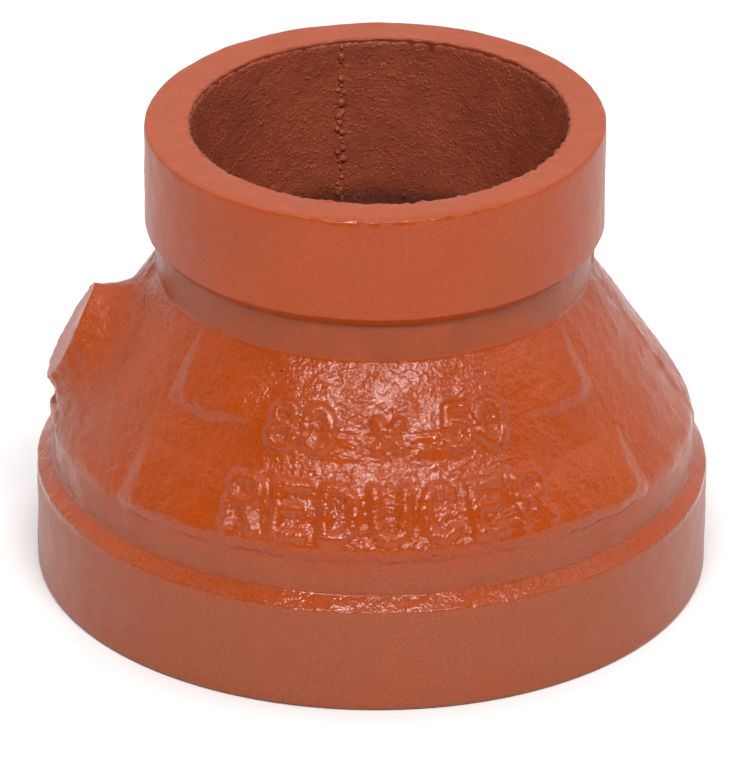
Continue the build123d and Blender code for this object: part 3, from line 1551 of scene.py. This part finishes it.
@dataclass
class Waterway:
    """The inside of the casting: its rough wall, loose grit and the seams that the core left."""

    sizes: CastingSizes
    segments: int = 420
    row_pitch: float = 0.42
    buried: float = 1.0
    mouth: float = 0.1
    seam_angles: tuple[float, float] = (-168.0, 12.0)
    seam_pitch: float = 0.48
    seam_zigzag: float = 0.45
    seam_share: float = 0.8
    seam_lump: float = 0.42
    seam_sizes: tuple[float, float] = (0.5, 1.5)
    grit_lump: float = 0.12
    grit_sizes: tuple[float, float] = (0.5, 1.7)
    grit_density: float = 0.07
    lump_stretch: tuple[float, float] = (0.7, 1.3)
    lump_turn: float = 6.2
    seam_ends: tuple[float, float] = (0.6, 1.5)
    ease: float = 0.8
    tuck: float = 0.25
    tuck_run: float = 0.35
    grain_ease: float = 0.7
    back_step: int = 6
    swell_scale: float = 180.0

    WELL_INSIDE = 0.9

    def wall_profile(self) -> bpy.types.Object:
        """Draws the lining's closed half section: the wall, then its buried back.

        Returns:
            An object whose mesh is a chain of points, each with the mask of the inner wall.
        """
        outline = self.sizes.outline()
        start = outline.spans["small mouth"][1] - self.mouth
        end = outline.length + self.mouth - self.sizes.mouth_edge
        count = round((end - start) / self.row_pitch)
        along = np.linspace(start, end, count + 1)
        radius, height, normal_r, normal_z = outline.at(along)
        proud = self.sizes.lining * smooth_step(0.0, self.ease, along - start)
        proud *= 1.0 - smooth_step(-self.ease, 0.0, along - end)
        proud -= self.tuck * (1.0 - smooth_step(0.0, self.tuck_run, along - start))
        proud -= self.tuck * smooth_step(-self.tuck_run, 0.0, along - end)
        wall = np.stack([radius + proud * normal_r, height + proud * normal_z], axis=1)
        back_along = along[::self.back_step][::-1]
        back_radius, back_height, back_nr, back_nz = outline.at(back_along)
        back = np.stack(
            [back_radius - self.buried * back_nr, back_height - self.buried * back_nz], axis=1)
        chain = np.concatenate([wall, back, wall[:1]])
        free = smooth_step(0.0, self.grain_ease, along - start)
        free *= 1.0 - smooth_step(-self.grain_ease, 0.0, along - end)
        inner = np.concatenate([free, np.zeros(len(back) + 1)])
        mesh = bpy.data.meshes.new("wall_profile")
        mesh.from_pydata([(r * MM, 0.0, z * MM) for r, z in chain],
                         [(i, i + 1) for i in range(len(chain) - 1)], [])
        layer = mesh.attributes.new(Mask.INNER.value, "FLOAT", "POINT")
        layer.data.foreach_set("value", inner.astype(np.float32))
        return link_mesh(mesh, "wall_profile")

    def wall_tree(self, rows: int, material: bpy.types.Material) -> GeometryTree:
        """The tree that turns the half section round the core's axis and gives it its grain.

        Args:
            rows: how many points the half section has.
            material: the wall's finish.

        Returns:
            The tree.
        """
        tree = GeometryTree("Turned Wall")
        sheet = tree.sheet
        segments = tree.count("Segments", self.segments + 1)
        shift = tree.number("Core Shift", self.sizes.core_shift * MM)
        grain_size = tree.number("Grain Size", 0.62 * MM)
        grain_depth = tree.number("Grain Depth", 0.24 * MM)
        swell_depth = tree.number("Swell Depth", 0.3 * MM)
        seed = tree.number("Seed", 3.0)
        grid = sheet.add("GeometryNodeMeshGrid", {
            "Size X": 1.0, "Size Y": 1.0, "Vertices X": segments, "Vertices Y": rows})
        place = sheet.add("GeometryNodeInputPosition").outputs[0]
        parts = sheet.add("ShaderNodeSeparateXYZ", {0: place})
        angle = sheet.maths("MULTIPLY", parts.outputs[0], 2.0 * math.pi)
        row = sheet.maths("MULTIPLY", sheet.maths("ADD", parts.outputs[1], 0.5), float(rows - 1))
        row = sheet.maths("ROUND", row)

        def sampled(kind: str, value: bpy.types.NodeSocket) -> bpy.types.NodeSocket:
            """A field of the half section, read at each grid point's row.

            Args:
                kind: the field's data type.
                value: the field.

            Returns:
                The socket with the values read.
            """
            node = sheet.add("GeometryNodeSampleIndex", {
                "Geometry": tree.geometry, "Value": value, "Index": row},
                data_type=kind, domain="POINT")
            return node.outputs[0]

        section = sheet.add("ShaderNodeSeparateXYZ", {0: sampled("FLOAT_VECTOR", place)})
        inner = tree.mask(Mask.INNER)
        marked = sheet.add("GeometryNodeStoreNamedAttribute", {
            "Geometry": grid.outputs["Mesh"], "Name": Mask.INNER.value,
            "Value": sampled("FLOAT", inner)},
            data_type="FLOAT", domain="POINT")
        radius = section.outputs[0]
        across = sheet.maths("MULTIPLY", radius, sheet.maths("SINE", angle))
        across = sheet.maths("ADD", across, shift)
        deep = sheet.maths("MULTIPLY", radius, sheet.maths("COSINE", angle))
        deep = sheet.maths("MULTIPLY", deep, -1.0)
        height = section.outputs[2]
        start, top = self.sizes.face_lean_from * MM, self.sizes.end_to_end * MM
        lean = sheet.maths("ADD", sheet.maths("MULTIPLY", across, self.sizes.face_lean[0]),
                           sheet.maths("MULTIPLY", deep, self.sizes.face_lean[1]))
        lean = sheet.maths("MULTIPLY", lean, sheet.ramp(height, start, top))
        height = sheet.maths("ADD", height, lean)
        turned = sheet.add("ShaderNodeCombineXYZ", {0: across, 1: deep, 2: height})
        rolled = sheet.add("GeometryNodeSetPosition",
                           {"Geometry": marked.outputs[0], "Position": turned.outputs[0]})
        whole = sheet.add("GeometryNodeMergeByDistance",
                          {"Geometry": rolled.outputs[0], "Distance": TINY})
        fine = sheet.add("ShaderNodeTexNoise", {
            "Vector": place, "W": seed, "Scale": sheet.maths("DIVIDE", 1.0, grain_size),
            "Detail": 2.0, "Roughness": 0.6}, noise_dimensions="4D")
        broad = sheet.add("ShaderNodeTexNoise", {
            "Vector": place, "W": sheet.maths("ADD", seed, 4.0), "Scale": self.swell_scale,
            "Detail": 2.0},
            noise_dimensions="4D")
        lift = sheet.maths("MULTIPLY", sheet.maths("SUBTRACT", fine.outputs[0], 0.5),
                           sheet.maths("MULTIPLY", grain_depth, 2.0))
        swell = sheet.maths("MULTIPLY", sheet.maths("SUBTRACT", broad.outputs[0], 0.5), swell_depth)
        total = sheet.maths("MULTIPLY", sheet.maths("ADD", lift, swell), inner)
        normal = sheet.add("GeometryNodeInputNormal").outputs[0]
        offset = sheet.add("ShaderNodeVectorMath", {0: normal, "Scale": total}, operation="SCALE")
        rough = sheet.add("GeometryNodeSetPosition", {
            "Geometry": whole.outputs[0], "Offset": offset.outputs[0]})
        tree.close(rough.outputs[0], material)
        return tree

    def seam_chain(self) -> bpy.types.Object:
        """Marks where lumps sit along both seams of the core, where its halves met.

        Returns:
            An object whose mesh is those points.
        """
        outline = self.sizes.outline()
        first = outline.spans["small mouth"][1] + self.seam_ends[0]
        last = outline.length - self.seam_ends[1]
        draw = np.random.default_rng(7)
        places = []
        for angle in self.seam_angles:
            along = np.arange(first, last, self.seam_pitch)
            along = along[draw.uniform(size=len(along)) < self.seam_share]
            radius, height, _, _ = outline.at(along)
            zigzag = np.radians(angle) + self.seam_zigzag * draw.uniform(-1, 1, len(along)) / radius
            places.append(np.stack([radius * np.sin(zigzag) + self.sizes.core_shift,
                                    -radius * np.cos(zigzag), height], axis=1))
        mesh = bpy.data.meshes.new("seam_chain")
        mesh.from_pydata([tuple(place * MM) for place in np.concatenate(places)], [], [])
        return link_mesh(mesh, "seam_chain")

    def lump_tree(self, name: str, radius: float, sizes: tuple[float, float], detail: int,
                  scatter: float, material: bpy.types.Material) -> GeometryTree:
        """A tree that puts an uneven lump on every point that goes in.

        Args:
            name: the tree's name.
            radius: radius of a lump of size 1, in mm.
            sizes: least and greatest size of a lump.
            detail: how finely each lump is divided.
            scatter: points per square millimetre on faces, or 0 for one lump on each vertex.
            material: the lumps' finish.

        Returns:
            The tree.
        """
        tree = GeometryTree(name)
        sheet = tree.sheet
        lump_radius = tree.number("Lump Radius", radius * MM)
        least = tree.number("Least Size", sizes[0])
        greatest = tree.number("Greatest Size", sizes[1])
        seed = tree.count("Seed", 9)
        points = tree.geometry
        if scatter:
            density = tree.number("Lumps Per Square Metre", scatter / MM**2)
            shown = sheet.maths("GREATER_THAN", tree.mask(Mask.INNER), self.WELL_INSIDE)
            spread = sheet.add("GeometryNodeDistributePointsOnFaces", {
                "Mesh": points, "Selection": shown, "Density": density, "Seed": seed})
            points = spread.outputs["Points"]
        lump = sheet.add("GeometryNodeMeshIcoSphere",
                         {"Radius": lump_radius, "Subdivisions": detail})
        flattest, longest = self.lump_stretch
        stretch = sheet.add("FunctionNodeRandomValue", {
            0: (flattest,) * 3, 1: (longest,) * 3, "Seed": seed}, data_type="FLOAT_VECTOR")
        size = sheet.add("FunctionNodeRandomValue", {2: least, 3: greatest, "Seed": seed},
                         data_type="FLOAT")
        scale = sheet.add("ShaderNodeVectorMath", {0: stretch.outputs[0], "Scale": size.outputs[1]},
                          operation="SCALE")
        turn = sheet.add("FunctionNodeRandomValue", {
            0: (0.0,) * 3, 1: (self.lump_turn,) * 3, "Seed": seed}, data_type="FLOAT_VECTOR")
        copies = sheet.add("GeometryNodeInstanceOnPoints", {
            "Points": points, "Instance": lump.outputs[0], "Scale": scale.outputs[0],
            "Rotation": turn.outputs[0]})
        tree.close(copies.outputs[0], material)
        return tree

    def build_seams(self, material: bpy.types.Material) -> bpy.types.Object:
        """Builds the strings of lumps where the core's halves met."""
        tree = self.lump_tree("Core Seam", self.seam_lump, self.seam_sizes, 2, 0.0, material)
        return tree.run(self.seam_chain(), "core_seams")

    def build_grit(self, wall: bpy.types.Object, material: bpy.types.Material) -> bpy.types.Object:
        """Builds the grains that stuck to the wall from the core's sand."""
        tree = self.lump_tree(
            "Core Grit", self.grit_lump, self.grit_sizes, 1, self.grit_density, material)
        return tree.run(link_mesh(wall.data.copy(), "grit_ground"), "core_grit")

    def build_wall(self, material: bpy.types.Material) -> bpy.types.Object:
        """Builds the rough wall of the waterway.

        Args:
            material: its finish.

        Returns:
            The finished piece.
        """
        profile = self.wall_profile()
        rows = len(profile.data.vertices)
        return self.wall_tree(rows, material).run(profile, "waterway_wall")


# ---------------------------------------------------------------- the set


@dataclass(frozen=True)
class Softbox:
    """A rectangular light that faces the casting, in metres and degrees."""

    name: str
    azimuth: float
    elevation: float
    distance: float
    size: tuple[float, float]
    power: float
    colour: Colour = (1.0, 1.0, 1.0)

    def build(self, target: Vector) -> None:
        """Hangs the light.

        Args:
            target: the place that it faces.
        """
        turn, rise = math.radians(self.azimuth), math.radians(self.elevation)
        level = math.cos(rise)
        towards = Vector((math.sin(turn) * level, -math.cos(turn) * level, math.sin(rise)))
        data = bpy.data.lights.new(self.name, "AREA")
        data.shape = "RECTANGLE"
        data.size, data.size_y = self.size
        data.energy = self.power
        data.color = self.colour
        lamp = bpy.data.objects.new(self.name, data)
        bpy.context.scene.collection.objects.link(lamp)
        lamp.location = target + towards * self.distance
        lamp.rotation_euler = towards.to_track_quat("Z", "Y").to_euler()
        lamp.visible_camera = False


@dataclass
class Studio:
    """The pale bench, the lights and the camera."""

    aim: Vector = field(default_factory=lambda: Vector((-0.00022, 0.0, 0.02532)))
    pivot: Vector = field(default_factory=lambda: Vector((0.0, 0.0, 0.030)))
    distance: float = 1.2
    elevation: float = 26.814
    roll: float = 0.0098
    lens: float = 430.09
    bench_size: float = 6.0
    bench_top: float = -0.0001
    sensor: float = 36.0
    room_reach: tuple[float, float] = (-0.45, 0.35)
    room_light: tuple[float, float] = (0.04, 0.95)
    lights: tuple[Softbox, ...] = (
        Softbox("key", 4.0, 50.5, 1.1, (0.85, 0.10), 12.2),
        Softbox("overhead", 180.0, 83.0, 1.6, (0.95, 0.95), 4.0),
        Softbox("right_fill", 85.0, 45.0, 1.5, (0.6, 0.6), 1.5),
    )

    def build(self, bench_finish: bpy.types.Material) -> None:
        """Sets up everything that isn't part of the casting.

        Args:
            bench_finish: the bench top's material.
        """
        self.build_bench(bench_finish)
        for light in self.lights:
            light.build(self.pivot)
        self.build_surroundings()
        self.build_camera()

    def build_bench(self, material: bpy.types.Material) -> None:
        """Lays the bench top that the casting stands on.

        Args:
            material: its finish.
        """
        half = self.bench_size / 2
        mesh = bpy.data.meshes.new("bench")
        corners = ((-half, -half), (half, -half), (half, half), (-half, half))
        mesh.from_pydata([(x, y, self.bench_top) for x, y in corners], [], [(0, 1, 2, 3)])
        mesh.materials.append(material)
        link_mesh(mesh, "bench")

    def build_surroundings(self) -> None:
        """A pale room behind and beside the casting that is dim in front of it."""
        world = bpy.data.worlds.new("room")
        world.use_nodes = True
        world.node_tree.nodes.clear()
        sheet = NodeSheet(world.node_tree)
        where = sheet.add("ShaderNodeTexCoord").outputs["Generated"]
        parts = sheet.add("ShaderNodeSeparateXYZ", {0: where})
        light = sheet.ramp(parts.outputs[1], *self.room_reach, *self.room_light)
        shader = sheet.add("ShaderNodeBackground",
                           {"Color": (1.0, 1.0, 1.0, 1.0), "Strength": light})
        sheet.add("ShaderNodeOutputWorld", {"Surface": shader.outputs[0]})
        bpy.context.scene.world = world

    def build_camera(self) -> None:
        """Places the camera in front of the marking, a little above the casting."""
        rise = math.radians(self.elevation)
        spot = self.pivot + Vector((0.0, -math.cos(rise), math.sin(rise))) * self.distance
        data = bpy.data.cameras.new("camera")
        data.lens = self.lens
        data.sensor_width = self.sensor
        camera = bpy.data.objects.new("camera", data)
        bpy.context.scene.collection.objects.link(camera)
        camera.location = spot
        look = (self.aim - spot).to_track_quat("-Z", "Y")
        camera.rotation_mode = "QUATERNION"
        camera.rotation_quaternion = look @ Quaternion((0.0, 0.0, 1.0), self.roll)
        bpy.context.scene.camera = camera


def report(piece: bpy.types.Object) -> None:
    """Logs a finished piece and its triangles."""
    piece.data.calc_loop_triangles()
    log.info("%s: %d triangles", piece.name, len(piece.data.loop_triangles))


def ride(piece: bpy.types.Object) -> bpy.types.Object:
    """Hangs a finished piece on the casting's body and logs its triangles.

    Args:
        piece: the piece.

    Returns:
        The same piece.
    """
    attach(piece, BODY)
    report(piece)
    return piece


def main() -> None:
    """Builds the casting, the inside of its waterway and the set round it."""
    logging.basicConfig(level=logging.INFO, format="%(name)s: %(message)s")
    bpy.context.scene.view_settings.view_transform = "Standard"
    sizes = CastingSizes.from_frame(frame["record"])
    enamel = OrangeEnamel().make()
    bore_enamel = BoreEnamel().make()

    casting = ride(Casting(sizes).build(enamel))
    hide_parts(CASTING_NODE)
    waterway = Waterway(sizes)
    wall = ride(waterway.build_wall(bore_enamel))
    ride(waterway.build_seams(bore_enamel))
    ride(waterway.build_grit(wall, bore_enamel))
    Studio().build(BenchTop().make())


if __name__ == "__main__":
    main()
